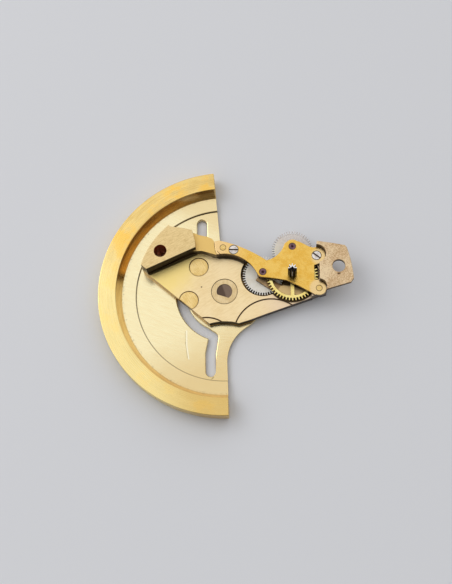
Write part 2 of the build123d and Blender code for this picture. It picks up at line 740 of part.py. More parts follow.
# Reversing wheels: each has a toothed disc, two clicks and an arbor.
click_bottom = reverser_bottom + click_pocket_depth - click_thickness
arbor_bottom = lower_bridge_top + pivot_end_gap
arbor_top = bridge_seat - pivot_end_gap
leaf_bottom = plate_top + skin_gap
leaf_top = arbor_top - pivot_end_gap
reversers = (("near", near, near_phase, near_leaf_phase), ("far", far, far_phase, far_leaf_phase))
for name, centre, wheel_phase, leaf_phase in reversers:
    with BuildPart() as wheel:
        with BuildSketch(Plane.XY.offset(reverser_bottom)):
            toothed_ring(reverser_teeth, train_module, wheel_phase, centre)
            disc(centre, arbor_radius + shaft_gap, mode=Mode.SUBTRACT)
        extrude(amount=reverser_thickness)
        with BuildSketch(Plane.XY.offset(reverser_bottom)):
            disc(centre, click_pocket_radius)
        extrude(amount=click_pocket_depth, mode=Mode.SUBTRACT)
    finish(wheel, f"{name}_reversing_wheel")
    with BuildPart() as clicks:
        with BuildSketch(Plane.XY.offset(click_bottom)):
            for click in range(click_count):
                start_angle = wheel_phase + 360 / click_count * click
                tip_radius = ratchet_radius + click_width
                tail = plus(centre, polar(click_pocket_radius - click_width, start_angle))
                tip = plus(centre, polar(tip_radius, start_angle + click_turn))
                arm(tail, tip, click_width / 2)
        extrude(amount=click_thickness)
    finish(clicks, f"{name}_clicks")
    with BuildPart() as arbor:
        with BuildSketch(Plane.XY.offset(arbor_bottom)):
            disc(centre, arbor_radius)
        extrude(amount=arbor_top - arbor_bottom)
        with BuildSketch(Plane.XY.offset(plate_bottom + pivot_end_gap)):
            disc(centre, pivot_radius)
        extrude(amount=bridge_top - plate_bottom - 2 * pivot_end_gap)
        with BuildSketch(Plane.XY.offset(click_bottom)):
            points = []
            for tooth in range(ratchet_teeth):
                for depth, turn in ((0, 0), (ratchet_depth, ratchet_turn_share)):
                    angle = leaf_phase + 360 / ratchet_teeth * (tooth + turn)
                    points.append(plus(centre, polar(ratchet_radius - depth, angle)))
            with BuildLine():
                Polyline(*points, close=True)
            make_face()
        extrude(amount=click_thickness - pivot_end_gap)
        with BuildSketch(Plane.XY.offset(leaf_bottom)):
            toothed_ring(reverser_leaves, output_module, leaf_phase, centre)
        extrude(amount=leaf_top - leaf_bottom)
    finish(arbor, f"{name}_reversing_arbor")

# Output wheel with crossed-out spokes, and the tall pinion that carries it.
output_rim_inner = output_pitch - tooth_foot_share * output_module - output_rim_width
with BuildPart() as output_wheel:
    with BuildSketch(Plane.XY.offset(output_bottom)):
        toothed_ring(output_teeth, output_module, output_phase, output)
        disc(output, output_rim_inner, mode=Mode.SUBTRACT)
        disc(output, output_hub_radius)
        for spoke in range(output_spokes):
            spoke_angle = 360 / output_spokes * spoke
            spoke_end = plus(output, polar(output_rim_inner + output_rim_width / 2, spoke_angle))
            arm(output, spoke_end, output_spoke_width / 2)
        disc(output, output_seat_radius, mode=Mode.SUBTRACT)
    extrude(amount=output_thickness)
finish(output_wheel, "output_wheel")

with BuildPart() as output_pinion:
    with BuildSketch(Plane.XY.offset(plate_top - output_jewel_depth + pivot_end_gap)):
        disc(output, output_pivot_radius)
    extrude(amount=output_jewel_depth + output_gap)
    with BuildSketch(Plane.XY.offset(plate_top + skin_gap)):
        disc(output, output_hub_radius)
    extrude(amount=output_gap - skin_gap)
    with BuildSketch(Plane.XY.offset(output_bottom)):
        disc(output, output_seat_radius)
    extrude(amount=output_thickness + pivot_end_gap)
    with BuildSketch(Plane.XY.offset(output_top)):
        disc(output, output_arbor_radius)
    extrude(amount=final_bottom - output_top)
    with BuildSketch(Plane.XY.offset(final_bottom)):
        toothed_ring(final_leaves, final_module, output_phase, output)
    extrude(amount=final_pinion_length)
    with BuildSketch(Plane.XY.offset(final_top)):
        disc(output, output_pivot_radius)
    extrude(amount=final_pivot_length)
finish(output_pinion, "output_pinion")

print(f"rotor radius {rotor_radius:.3f}, overall height {overall_height:.3f}")
print("near, far, output", near, far, output)
print("holes", left_hole, right_hole, "plate", plate_bottom, plate_top, "foot", foot_bottom, foot_top)
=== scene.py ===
import math
import bmesh
import bpy
from mathutils import Matrix, Vector


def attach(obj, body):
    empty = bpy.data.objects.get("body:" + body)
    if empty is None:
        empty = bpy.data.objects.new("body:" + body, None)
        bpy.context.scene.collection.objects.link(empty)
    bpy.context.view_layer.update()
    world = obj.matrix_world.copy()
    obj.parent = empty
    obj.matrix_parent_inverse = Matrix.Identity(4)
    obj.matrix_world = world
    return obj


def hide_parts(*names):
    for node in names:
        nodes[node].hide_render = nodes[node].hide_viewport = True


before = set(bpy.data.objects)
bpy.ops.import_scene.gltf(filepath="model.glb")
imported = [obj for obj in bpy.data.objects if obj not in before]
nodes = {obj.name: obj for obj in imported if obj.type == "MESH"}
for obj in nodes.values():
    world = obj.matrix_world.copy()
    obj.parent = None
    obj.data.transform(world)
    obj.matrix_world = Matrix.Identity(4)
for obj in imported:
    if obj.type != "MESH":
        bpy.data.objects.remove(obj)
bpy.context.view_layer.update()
scene = bpy.context.scene
scene.view_settings.view_transform = "Standard"
mm = 0.001
print("frame loaded:", len(nodes), "nodes")


# Colours are written as the eye sees them, from 0 to 255.
def tint(red, green, blue):
    def linear(value):
        value /= 255
        return value / 12.92 if value <= 0.04045 else ((value + 0.055) / 1.055) ** 2.4
    return (linear(red), linear(green), linear(blue), 1)


def addObject(name, data):
    thing = bpy.data.objects.new(name, data)
    scene.collection.objects.link(thing)
    return thing


class Field:
    # A socket, so that maths on it reads as a plain expression.
    def __init__(self, owner, socket):
        self.owner = owner
        self.socket = socket

    def __add__(self, other):
        return self.owner.maths("ADD", self, other)

    def __sub__(self, other):
        return self.owner.maths("SUBTRACT", self, other)

    def __rsub__(self, other):
        return self.owner.maths("SUBTRACT", other, self)

    def __mul__(self, other):
        return self.owner.maths("MULTIPLY", self, other)

    def __truediv__(self, other):
        return self.owner.maths("DIVIDE", self, other)

    def __rtruediv__(self, other):
        return self.owner.maths("DIVIDE", other, self)

    def __pow__(self, other):
        return self.owner.maths("POWER", self, other)

    def __mod__(self, other):
        return self.owner.maths("FLOORED_MODULO", self, other)

    def __lt__(self, other):
        return self.owner.maths("LESS_THAN", self, other)

    def __gt__(self, other):
        return self.owner.maths("GREATER_THAN", self, other)

    def __abs__(self):
        return self.owner.maths("ABSOLUTE", self)

    __radd__ = __add__
    __rmul__ = __mul__


class NodeTree:
    # Any node comes from here: its type, its settings first, then what its sockets hold.
    def __init__(self, tree):
        self.tree = tree
        tree.nodes.clear()

    def node(self, kind, settings, values, output=0):
        made = self.tree.nodes.new(kind)
        for key, value in settings.items():
            setattr(made, key, value)
        for socket, value in values.items():
            # A list holds several links to one socket.
            for link in value if isinstance(value, list) else [value]:
                if isinstance(link, Field):
                    self.tree.links.new(link.socket, made.inputs[socket])
                else:
                    made.inputs[socket].default_value = link
        return Field(self, made.outputs[output]) if len(made.outputs) else None

    def maths(self, operation, *values):
        return self.node("ShaderNodeMath", {"operation": operation}, dict(enumerate(values)))

    def vector(self, operation, *values, output="Vector", **named):
        held = {**dict(enumerate(values)), **named}
        return self.node("ShaderNodeVectorMath", {"operation": operation}, held, output)

    def join(self, x, y, z):
        return self.node("ShaderNodeCombineXYZ", {}, {0: x, 1: y, 2: z})

    def ramp(self, value, low=0, high=1, start=0, end=1):
        # A smooth step from start to end, while the value goes from low to high.
        return self.node(
            "ShaderNodeMapRange", {"interpolation_type": "SMOOTHSTEP"},
            {"Value": value, "From Min": low, "From Max": high, "To Min": start, "To Max": end},
        )


class Finish(NodeTree):
    # One material: the nodes that vary over the surface, and last the shader that they feed.
    def __init__(self, name):
        self.material = bpy.data.materials.new(name)
        self.material.use_nodes = True
        super().__init__(self.material.node_tree)

    def dress(self, **inputs):
        held = {socket.replace("_", " "): value for socket, value in inputs.items()}
        surface = self.node("ShaderNodeBsdfPrincipled", {}, held)
        self.node("ShaderNodeOutputMaterial", {}, {"Surface": surface})
        return self.material

    def place(self, turn=0):
        # Object coordinates in millimetres, turned by some degrees for grain that runs aslant.
        raw = self.node("ShaderNodeTexCoord", {}, {}, "Object")
        scaled = self.vector("SCALE", raw, Scale=1 / mm)
        if not turn:
            return scaled
        held = {"Vector": scaled, "Angle": math.radians(turn)}
        return self.node("ShaderNodeVectorRotate", {"rotation_type": "Z_AXIS"}, held)

    def parts(self, place):
        return [self.node("ShaderNodeSeparateXYZ", {}, {0: place}, axis) for axis in range(3)]

    def radius(self, place, centre=(0, 0)):
        x, y = self.parts(place)[:2]
        x, y = x - centre[0], y - centre[1]
        return (x * x + y * y) ** 0.5

    def noise(self, place, scale, detail=3):
        held = {"Vector": place, "Scale": scale, "Detail": detail, "Roughness": 0.6}
        return self.node("ShaderNodeTexNoise", {}, held)

    def mix(self, factor, first, second):
        # Sockets 6 and 7 are the node's two colours, and output 2 is the colour between them.
        held = {"Factor": factor, 6: first, 7: second}
        return self.node("ShaderNodeMix", {"data_type": "RGBA"}, held, 2)

    def tone(self, grain, deep, pale, low=0.38, high=0.62):
        # The ground colour, between its deep and its pale tone as the grain goes.
        return self.mix(self.ramp(grain, low, high), deep, pale)

    def dull(self, grain, low, high):
        # Roughness that follows the grain.
        return self.ramp(grain, 0.3, 0.7, low, high)

    def normal(self):
        return self.node("ShaderNodeTexCoord", {}, {}, "Normal")

    def walls(self):
        # 1 on upright faces, 0 on level ones.
        return self.ramp(abs(self.parts(self.normal())[2]), 0.75, 0.35)

    def between(self, value, low, high):
        return (value > low) * (value < high)

    def ring(self, place, centre, radius, halfWidth):
        return self.ramp(abs(self.radius(place, centre) - radius), halfWidth, halfWidth * 0.3)

    def disc(self, place, centre, radius, blur=0.04):
        return self.ramp(self.radius(place, centre), radius + blur, radius - blur)

    def scratch(self, place, start, end, halfWidth):
        # A fine line from one place to another, in the plane of the part.
        run = (end[0] - start[0], end[1] - start[1], 0)
        flat = self.vector("MULTIPLY", place, (1, 1, 0))
        away = self.vector("SUBTRACT", flat, (*start, 0))
        share = self.vector("DOT_PRODUCT", away, run, output="Value") / (run[0] ** 2 + run[1] ** 2)
        share = self.maths("MAXIMUM", self.maths("MINIMUM", share, 1), 0)
        nearest = self.vector("SCALE", run, Scale=share)
        gap = self.vector("LENGTH", self.vector("SUBTRACT", away, nearest), output="Value")
        return self.ramp(gap, halfWidth, halfWidth * 0.3)

    def strokes(self, place, lines):
        # Each line has its half width and the places that it goes through.
        return sum(
            self.scratch(place, start, end, halfWidth)
            for halfWidth, path in lines
            for start, end in zip(path, path[1:])
        )

    def brushed(self, place, fine, long):
        # Straight grain: thin across y, stretched along x.
        x, y, z = self.parts(place)
        return self.noise(self.join(x * long, y * fine, z * fine * 0.5), 1, 4)

    def turned(self, place, fine, long):
        # Grain that runs round the rotor's axis, with no seam.
        x, y, z = self.parts(place)
        spread = self.radius(place)
        x, y = x / spread * long, y / spread * long
        return self.noise(self.join(spread * fine, x, y + z * fine * 0.3), 1, 4)

    def relief(self, height, depth):
        # Depth is in millimetres.
        held = {"Height": height, "Strength": 1, "Distance": depth * mm}
        return self.node("ShaderNodeBump", {}, held)


# Camera, as the photograph was taken: almost from above, a little from the front.
cameraPlan = {
    "place": (5.649, -34.460, 109.922),
    "right": (0.99873, 0.0, -0.0505),
    "up": (0.0160, 0.9488, 0.3154),
    "focalPixels": 1111.3, "longSide": 584, "sensor": 36, "centreRise": 16.5,
    "clipStart": 5, "clipEnd": 10000,
}


def makeCamera(plan):
    camera = addObject("photoCamera", bpy.data.cameras.new("photoCamera"))
    right = Vector(plan["right"]).normalized()
    up = Vector(plan["up"])
    up = (up - right * up.dot(right)).normalized()
    turn = Matrix((right, up, right.cross(up))).transposed().to_4x4()
    camera.matrix_world = Matrix.Translation(Vector(plan["place"]) * mm) @ turn
    camera.data.sensor_width = plan["sensor"]
    camera.data.lens = plan["focalPixels"] / plan["longSide"] * plan["sensor"]
    camera.data.shift_y = -plan["centreRise"] / plan["longSide"]
    camera.data.clip_start = plan["clipStart"] * mm
    camera.data.clip_end = plan["clipEnd"] * mm
    scene.camera = camera


makeCamera(cameraPlan)
print("camera ready")

# Studio, in metres: pale paper, a soft lamp at the upper left, and a room that is bright behind
# the object and dim on the near side, with the camera's stand as a dark patch overhead.
studioPlan = {
    "floorColour": tint(224, 225, 229), "floorHalf": 1.2, "floorLevel": -0.02 * mm,
    "seenColour": tint(206, 207, 211),
    "brightWay": (-0.30, 0.66, 0.69), "brightFrom": 0.66, "dimFrom": -0.45,
    "brightShare": 1.18, "dimShare": 0.10,
    "standWay": (0.05, -0.30, 0.95), "standInner": 0.985, "standOuter": 0.935, "standShare": 0.06,
    "keyPlace": (-0.18, 0.10, 0.21), "keySize": 0.20, "keyPower": 0.16,
}


def makeRoom(plan):
    world = bpy.data.worlds.new("studioRoom")
    world.use_nodes = True
    scene.world = world
    room = NodeTree(world.node_tree)
    way = room.node("ShaderNodeTexCoord", {}, {}, "Generated")

    def facing(direction):
        return room.vector("DOT_PRODUCT", way, Vector(direction).normalized(), output="Value")

    sky = facing(plan["brightWay"])
    sky = room.ramp(sky, plan["dimFrom"], plan["brightFrom"], plan["dimShare"], plan["brightShare"])
    stand = facing(plan["standWay"])
    stand = room.ramp(stand, plan["standOuter"], plan["standInner"], 1, plan["standShare"])
    light = room.node("ShaderNodeBackground", {}, {"Strength": sky * stand})
    seen = room.node("ShaderNodeBackground", {}, {"Color": plan["seenColour"]})
    camera = room.node("ShaderNodeLightPath", {}, {}, "Is Camera Ray")
    both = room.node("ShaderNodeMixShader", {}, {0: camera, 1: light, 2: seen})
    room.node("ShaderNodeOutputWorld", {}, {"Surface": both})


def makeLamp(plan):
    lamp = addObject("keyLamp", bpy.data.lights.new("keyLamp", "AREA"))
    lamp.data.shape = "DISK"
    lamp.data.size = plan["keySize"]
    lamp.data.energy = plan["keyPower"]
    lamp.location = plan["keyPlace"]
    lamp.rotation_euler = (-Vector(plan["keyPlace"])).to_track_quat("-Z", "Y").to_euler()


def makeFloor(plan):
    side, level = plan["floorHalf"], plan["floorLevel"]
    corners = [(-side, -side, level), (side, -side, level), (side, side, level), (-side, side, level)]
    mesh = bpy.data.meshes.new("paleFloor")
    mesh.from_pydata(corners, [], [(0, 1, 2, 3)])
    paper = Finish("palePaper").dress(Base_Color=plan["floorColour"], Roughness=0.9, Specular_IOR_Level=0.1)
    mesh.materials.append(paper)
    addObject("paleFloor", mesh)


makeRoom(studioPlan)
makeLamp(studioPlan)
makeFloor(studioPlan)
print("studio ready")


# Marks and recesses that the finishes and the pieces share, in millimetres.
plugPlaces = [(-2.655, 2.676), (-3.659, -0.918)]
pinPlaces = [(-0.107, 4.434), (9.673, -0.093)]
screwPlaces = [(0.9894, 4.1853), (9.4882, 3.4166)]
jewelPlaces = [(3.969397, 1.742444), (7.025137, 4.445933)]
outputPlace = (6.973712, 1.425371)
# Dark tone for dirt and for painted shade.
dirtAndShadeTone = tint(64, 38, 14)


def rimFinish():
    look = {
        "pale": tint(248, 218, 144), "deep": tint(224, 190, 116), "patch": tint(252, 200, 88),
        "sidePale": tint(250, 220, 156), "sideDeep": tint(214, 176, 112), "paintedLight": tint(255, 238, 170),
        "dirtAndShadeShare": 0.5, "rootRange": (10.86, 10.60), "innerReach": 11.25, "innerFoot": 0.5,
    }
    rim = Finish("rimGilt")
    place = rim.place()
    x, y, z = rim.parts(place)
    spread = rim.radius(place)
    streak, lines = rim.turned(place, 1.3, 3.4), rim.turned(place, 13, 2.2)
    cloud, speck = rim.noise(place, 0.35, 4), rim.noise(place, 5.5)
    base = rim.tone(streak * 0.5 + lines * 0.2 + cloud * 0.3, look["deep"], look["pale"])
    base = rim.mix(rim.ramp(cloud * 0.7 + streak * 0.3, 0.48, 0.60) * 0.8, base, look["patch"])
    # Painted shade: darker towards the lower end and the right.
    base = rim.mix(rim.ramp(x - y * 0.3, -8.5, 1) * 0.7, base, look["deep"])
    # Painted shade in patches along the inner wall's foot, with dirt specks.
    root = rim.ramp(spread, *look["rootRange"]) * rim.ramp(speck, 0.3, 0.6)
    dirtAndShade = rim.ramp(speck, 0.66, 0.76) * 0.30 + root * 0.9
    base = rim.mix(dirtAndShade * look["dirtAndShadeShare"], base, dirtAndShadeTone)
    # Painted light: paler towards the left, where the light falls.
    base = rim.mix(rim.ramp(x * 0.9 + y * 0.4, -6.5, -11.0) * 0.6, base, look["paintedLight"])
    inner = rim.walls() * (spread < look["innerReach"]) * (z > look["innerFoot"])
    side = rim.tone(lines * 0.6 + streak * 0.4, look["sideDeep"], look["sidePale"])
    base = rim.mix(inner, base, side)
    return rim.dress(
        Base_Color=base, Metallic=1 - inner * 0.05,
        Roughness=rim.dull(lines, 0.22, 0.34) - inner * 0.08,
        Normal=rim.relief(lines * 0.7 + streak * 0.5 + speck * 0.3, 0.0035),
    )


def webFinish():
    look = {
        "pale": tint(255, 244, 200), "deep": tint(248, 228, 176), "paintedLight": tint(228, 198, 138),
        "light": tint(255, 250, 226),
        "stepShade": 9.2, "borderRange": (10.25, 10.65), "hubShadeRange": (3.35, 3.05),
        "mark": [(0.09, [(-3.92, -3.88), (-3.90, -5.38)]), (0.08, [(-3.90, -5.38), (-3.67, -6.85)])],
        "shade": [(0.06, [(-4.06, -3.95), (-4.04, -5.16)]), (0.07, [(-4.04, -5.16), (-3.82, -6.74)])],
    }
    web = Finish("webGilt")
    place = web.place()
    x, y = web.parts(place)[:2]
    spread = web.radius(place)
    # Two brushings cross on the broad part, and one runs straight down the neck.
    grain = web.brushed(web.place(24), 12, 0.7) * 0.5 + web.brushed(web.place(17), 16, 0.9) * 0.5
    grain = 0.5 + (grain - 0.5) * 0.45
    neck = web.ramp(y, -3.6, -4.8) * web.ramp(x, -3.4, -0.9)
    grain = grain + (web.brushed(place, 13, 0.7) - grain) * neck * 0.9
    speck, cloud = web.noise(place, 5), web.noise(place, 0.4, 4)
    base = web.tone(grain, look["deep"], look["pale"], 0.36)
    # Painted shade: darker towards the lower end and the upper right.
    low = web.ramp(x * 0.5 - y + cloud * 3, 2.0, 9.5)
    high = web.ramp(y + x * 0.6 + cloud * 2, 5.5, 9.0)
    base = web.mix(low * 0.75 + high * 0.5, base, look["paintedLight"])
    mark = web.strokes(place, look["mark"])
    base = web.mix(web.ramp(mark) * 0.75, base, look["light"])
    # Dirt specks, and painted shade beside the mark, along the step and round the gear.
    dirtAndShade = web.ramp(speck, 0.69, 0.76) * 0.45 + web.strokes(place, look["shade"]) * 0.32
    dirtAndShade += web.ramp(spread, *look["borderRange"]) * web.ramp(speck, 0.45, 0.66) * 0.4
    dirtAndShade += web.ring(place, (0, 0), look["stepShade"], 0.09) * 0.6
    dirtAndShade += web.ramp(spread, *look["hubShadeRange"]) * 0.9  # painted shade round the gear, under the plate
    base = web.mix(web.ramp(dirtAndShade), base, dirtAndShadeTone)
    return web.dress(
        Base_Color=base, Metallic=1, Roughness=web.dull(grain, 0.16, 0.26),
        Normal=web.relief(grain + speck * 0.2 + mark * 0.4, 0.0025),
    )


# The plate's levels and places in millimetres, and each band of painted shadow with its half width and path.
plateMarks = {
    "topLevels": (1.22, 1.40), "recessLevels": (1.0, 1.38), "shadowLevels": (1.0, 1.40),
    "shadeLevels": (1.0, 1.94), "slotLevels": (0.56, 1.15), "barLevels": (1.15, 1.40),
    "padLevels": (2.2, 2.5), "blockSeat": 2.6, "footSeat": 2.0, "footSide": 8, "footFace": 3.0,
    "washerRing": (1.34, 0.055), "plugRing": (0.975, 0.085),
    "steps": [((4.730, -4.669), 3.808, 0.10), ((-1.865, -5.652), 2.911, 0.10)],
    "pit": ((-2.36, 0.52), 0.07, 0.04), "blockHole": ((-6.52, 3.95), 0.75, 0.02),
    "footSpots": [((11.60, 1.20), 0.10, 0.05), ((11.76, 1.22), 0.09, 0.05)],
    "recess": 2.70, "shadeOuter": 2.72, "shadeInner": (2.02, 0.2), "pocket": 2.40, "bar": 2.2,
    "shadowLines": [
        (0.29, [(-7.80, 2.02), (-2.95, 4.16)]),
        (0.13, [(-2.90, 4.24), (-2.03, 4.20), (-1.19, 3.92)]),
        (0.28, [(-1.10, 3.86), (-0.46, 3.74), (0.16, 3.73), (1.20, 3.54), (1.92, 3.20), (2.54, 2.70)]),
        (0.11, [(3.38, 1.09), (4.75, -0.04)]),
        (0.50, [(4.70, 1.40), (5.20, 1.15), (5.65, 0.95), (6.45, 0.90), (7.80, 0.55), (8.60, 0.10)]),
    ],
}


def plateFinish(marks):
    look = {
        "pale": tint(252, 228, 180), "deep": tint(242, 214, 160), "warmReflection": tint(255, 228, 146),
        "block": tint(238, 212, 156), "blockDeep": tint(214, 184, 126), "pad": tint(234, 196, 118),
        "foot": tint(240, 216, 176), "footDeep": tint(194, 156, 112), "pink": tint(244, 218, 186),
        "recess": tint(226, 194, 136), "bar": tint(160, 126, 86), "edge": tint(186, 148, 90),
        "shadow": tint(36, 20, 10), "wall": tint(40, 20, 6), "hole": tint(150, 56, 10),
    }
    plate = Finish("plateGilt")
    place = plate.place()
    x, y, z = plate.parts(place)
    walls = plate.walls()
    grain = plate.brushed(plate.place(-28), 13, 1.4)
    speck, cloud, frost = plate.noise(place, 6), plate.noise(place, 0.5, 4), plate.noise(place, 11, 2)
    base = plate.tone(grain * 0.6 + cloud * 0.4, look["deep"], look["pale"], high=0.60)
    # Painted reflection: warmer near the block, as its side reflects in the plate.
    base = plate.mix(plate.ramp(x - y * 0.6 + cloud * 2, -1.6, -5.4), base, look["warmReflection"])
    base = plate.mix(plate.ramp(x + y * 0.3, 2.0, 6.0) * 0.8, base, look["pink"])
    # The two ground seats are duller, the pad at the bridge's end is gilt like the bridge.
    left, right = (z > marks["blockSeat"]) * (x < 0), (z > marks["footSeat"]) * (x > marks["footSide"])
    seat = plate.tone(frost * 0.35 + grain * 0.65, look["blockDeep"], look["block"], 0.36, 0.60)
    foot = plate.tone(frost * 0.5 + cloud * 0.5, look["footDeep"], look["foot"], high=0.60)
    base = plate.mix(left, base, seat)
    base = plate.mix(right, base, foot)
    base = plate.mix(plate.between(z, *marks["padLevels"]) * (x < 0), base, look["pad"])
    # Dark lines round the plugs and the washer, heavier above, and painted shade along the steps.
    lines = plate.ring(place, (0, 0), *marks["washerRing"]) * plate.ramp(y - x * 0.5, -1.0, 1.2, 0.4, 0.85)
    for centre in plugPlaces:
        above = plate.ramp(y - centre[1], -0.8, 0.5, 0.45, 1)
        lines += plate.ring(place, centre, *marks["plugRing"]) * above
    steps = sum(plate.ring(place, *step) for step in marks["steps"])
    spots = sum(plate.disc(place, *spot) for spot in marks["footSpots"])
    dirtAndShade = (lines + steps * 0.95 + plate.disc(place, *marks["pit"])) * plate.between(z, *marks["topLevels"])
    dirtAndShade += spots * 0.75 * (z > marks["footFace"])
    dirtAndShade += plate.ramp(speck, 0.70, 0.78) * 0.35 + plate.ramp(frost, 0.66, 0.74) * 0.3 * (left + right)
    base = plate.mix(plate.ramp(dirtAndShade), base, dirtAndShadeTone)
    # Painted shadow under the bridge's edge, along the block's foot and round the wheels; the floor under
    # the gold wheel is a darker tone.
    under = plate.disc(place, outputPlace, marks["recess"]) * plate.between(z, *marks["recessLevels"])
    base = plate.mix(under, base, look["recess"])
    paintedShadow = plate.strokes(place, marks["shadowLines"]) * plate.between(z, *marks["shadowLevels"])
    base = plate.mix(plate.ramp(paintedShadow) * 0.9, base, look["shadow"])
    shade = plate.disc(place, outputPlace, marks["shadeOuter"])
    shade = shade * (1 - plate.disc(place, outputPlace, *marks["shadeInner"]))
    shade = shade * plate.between(z, *marks["shadeLevels"]) + plate.between(z, *marks["slotLevels"])
    base = plate.mix(plate.ramp(shade) * 0.9, base, look["shadow"])
    # Upright walls are painted dark and dull as shade, most of all the block's long one and the near wheel's
    # pocket; the block's walls that face away from the front get a lighter tone, painted as lit.
    high = z > marks["topLevels"][1]
    front = plate.vector("DOT_PRODUCT", plate.normal(), (0.40, -0.92, 0), output="Value")
    front = plate.ramp(front, 0.25, 0.55) * high
    blockSide = plate.ramp(x, -1.4, -2.2)
    blockWall = walls * blockSide * front
    pocketWall = walls * plate.disc(place, jewelPlaces[0], marks["pocket"])
    wall = plate.ramp(walls * 0.74 + blockWall * 0.26 + pocketWall * 0.26)
    edge = plate.ramp(blockSide * (1 - front))
    base = plate.mix(wall, base, plate.mix(edge, look["wall"], look["edge"]))
    # Painted shade on the bar's top, under the bridge.
    bar = plate.disc(place, jewelPlaces[0], marks["bar"]) * plate.between(z, *marks["barLevels"])
    base = plate.mix(bar * (1 - walls) * 0.8, base, look["bar"])
    base = plate.mix(walls * plate.disc(place, *marks["blockHole"]), base, look["hole"])
    return plate.dress(
        Base_Color=base, Metallic=0.7 - blockWall * 0.7 - pocketWall * 0.5, Specular_IOR_Level=0.2,
        Roughness=plate.dull(grain, 0.30, 0.40) + (left + right) * 0.10,
        Normal=plate.relief(grain * 0.7 + frost * 0.4 + speck * 0.3, 0.005),
    )


def bridgeFinish():
    look = {
        "pale": tint(242, 200, 104), "deep": tint(232, 182, 78), "end": tint(244, 208, 148),
        "edge": tint(240, 210, 154), "wall": tint(48, 26, 10), "wallTop": 2.3, "underside": 1.97,
        "paleSpots": [(pinPlaces[1], 0.95, 0.25), ((9.95, 3.30), 0.95, 0.35)],
        "rings": [(pinPlaces, 0.30, 0.055), (jewelPlaces, 0.36, 0.05), (screwPlaces, 0.485, 0.04)],
        "scratch": [(0.04, [(-0.68, 4.04), (-0.40, 3.74)])],
    }
    bridge = Finish("bridgeGilt")
    place = bridge.place()
    x, _, z = bridge.parts(place)
    cloud, fine = bridge.noise(place, 1.1, 4), bridge.noise(place, 7)
    grain = bridge.brushed(bridge.place(20), 12, 1.8)
    base = bridge.tone(cloud * 0.6 + fine * 0.4, look["deep"], look["pale"], high=0.60)
    base = bridge.mix(bridge.ramp(x + cloud, 3.4, -0.6), base, look["end"])
    ends = sum(bridge.disc(place, *spot) for spot in look["paleSpots"])
    base = bridge.mix(bridge.ramp(ends) * 0.9, base, look["edge"])
    lines = bridge.strokes(place, look["scratch"]) + sum(
        bridge.ring(place, centre, radius, halfWidth)
        for centres, radius, halfWidth in look["rings"]
        for centre in centres
    )
    dirtAndShade = lines * 0.85 + bridge.ramp(fine, 0.68, 0.76) * 0.35
    base = bridge.mix(bridge.ramp(dirtAndShade), base, dirtAndShadeTone)
    # Painted shade: the walls below the top edge and the underside are dark.
    paintedShade = bridge.walls() * 0.9 * (z < look["wallTop"]) + (z < look["underside"])
    base = bridge.mix(bridge.ramp(paintedShade), base, look["wall"])
    return bridge.dress(
        Base_Color=base, Metallic=1, Roughness=bridge.dull(grain, 0.20, 0.30),
        Normal=bridge.relief(fine * 0.6 + grain * 0.5, 0.004),
    )


def brassFinish(name, pale, deep, roughness, turn=30, dirtAndShadeShare=0.3):
    brass = Finish(name)
    place = brass.place()
    grain = brass.brushed(brass.place(turn), 12, 1.6)
    cloud, speck = brass.noise(place, 1.3), brass.noise(place, 7)
    base = brass.tone(grain * 0.5 + cloud * 0.5, deep, pale)
    # Dirt specks, and painted shade on upright faces.
    dirtAndShade = brass.ramp(speck, 0.68, 0.78) * dirtAndShadeShare + brass.walls() * 0.6
    base = brass.mix(brass.ramp(dirtAndShade), base, dirtAndShadeTone)
    return brass.dress(
        Base_Color=base, Metallic=1, Roughness=brass.dull(grain, roughness - 0.04, roughness + 0.07),
        Normal=brass.relief(grain * 0.7 + speck * 0.3, 0.004),
    )


def steelFinish(name, pale, deep, roughness, slotLevels=None):
    steel = Finish(name)
    place = steel.place()
    grain = steel.brushed(steel.place(35), 14, 2)
    cloud = steel.noise(place, 2.4)
    base = steel.tone(cloud * 0.7 + grain * 0.3, deep, pale, 0.36)
    # The slots are painted dark, as shade.
    if slotLevels:
        base = steel.mix(steel.between(steel.parts(place)[2], *slotLevels), base, dirtAndShadeTone)
    return steel.dress(
        Base_Color=base, Metallic=1, Roughness=steel.dull(grain, roughness - 0.04, roughness + 0.08),
        Normal=steel.relief(grain, 0.002),
    )


def pinionFinish():
    look = {
        "pale": tint(30, 24, 26), "deep": tint(16, 12, 14),
        "face": tint(244, 242, 240), "faceLevel": 4.37, "faceRange": (0.26, 0.38),
        "glint": tint(190, 188, 192), "glintWidth": 0.06, "glintReach": 0.36,
        "glintRange": (2.9, 3.3), "glintTop": 4.38,
    }
    pinion = Finish("pinionSteel")
    place = pinion.place()
    x, y, z = pinion.parts(place)
    cloud, grain = pinion.noise(place, 2.4), pinion.brushed(place, 14, 2)
    base = pinion.tone(cloud * 0.7 + grain * 0.3, look["deep"], look["pale"], 0.36)
    # Painted light and shade: the leaves' ends are bright towards the back and dark in front, one leaf has a
    # painted glint down its tip, and the sides are near black.
    across, along = x - outputPlace[0], y - outputPlace[1]
    face = pinion.ramp(along + abs(across) * 0.6 + cloud * 0.4, *look["faceRange"])
    face = face * (z > look["faceLevel"])
    paintedLight = pinion.between(across, -look["glintWidth"], 0) * (along < -look["glintReach"])
    glint = paintedLight * pinion.ramp(z, *look["glintRange"]) * (z < look["glintTop"])
    base = pinion.mix(face, pinion.mix(glint, base, look["glint"]), look["face"])
    return pinion.dress(
        Base_Color=base, Metallic=face, Specular_IOR_Level=0.1,
        Roughness=pinion.dull(grain, 0.2, 0.34), Normal=pinion.relief(grain, 0.002),
    )


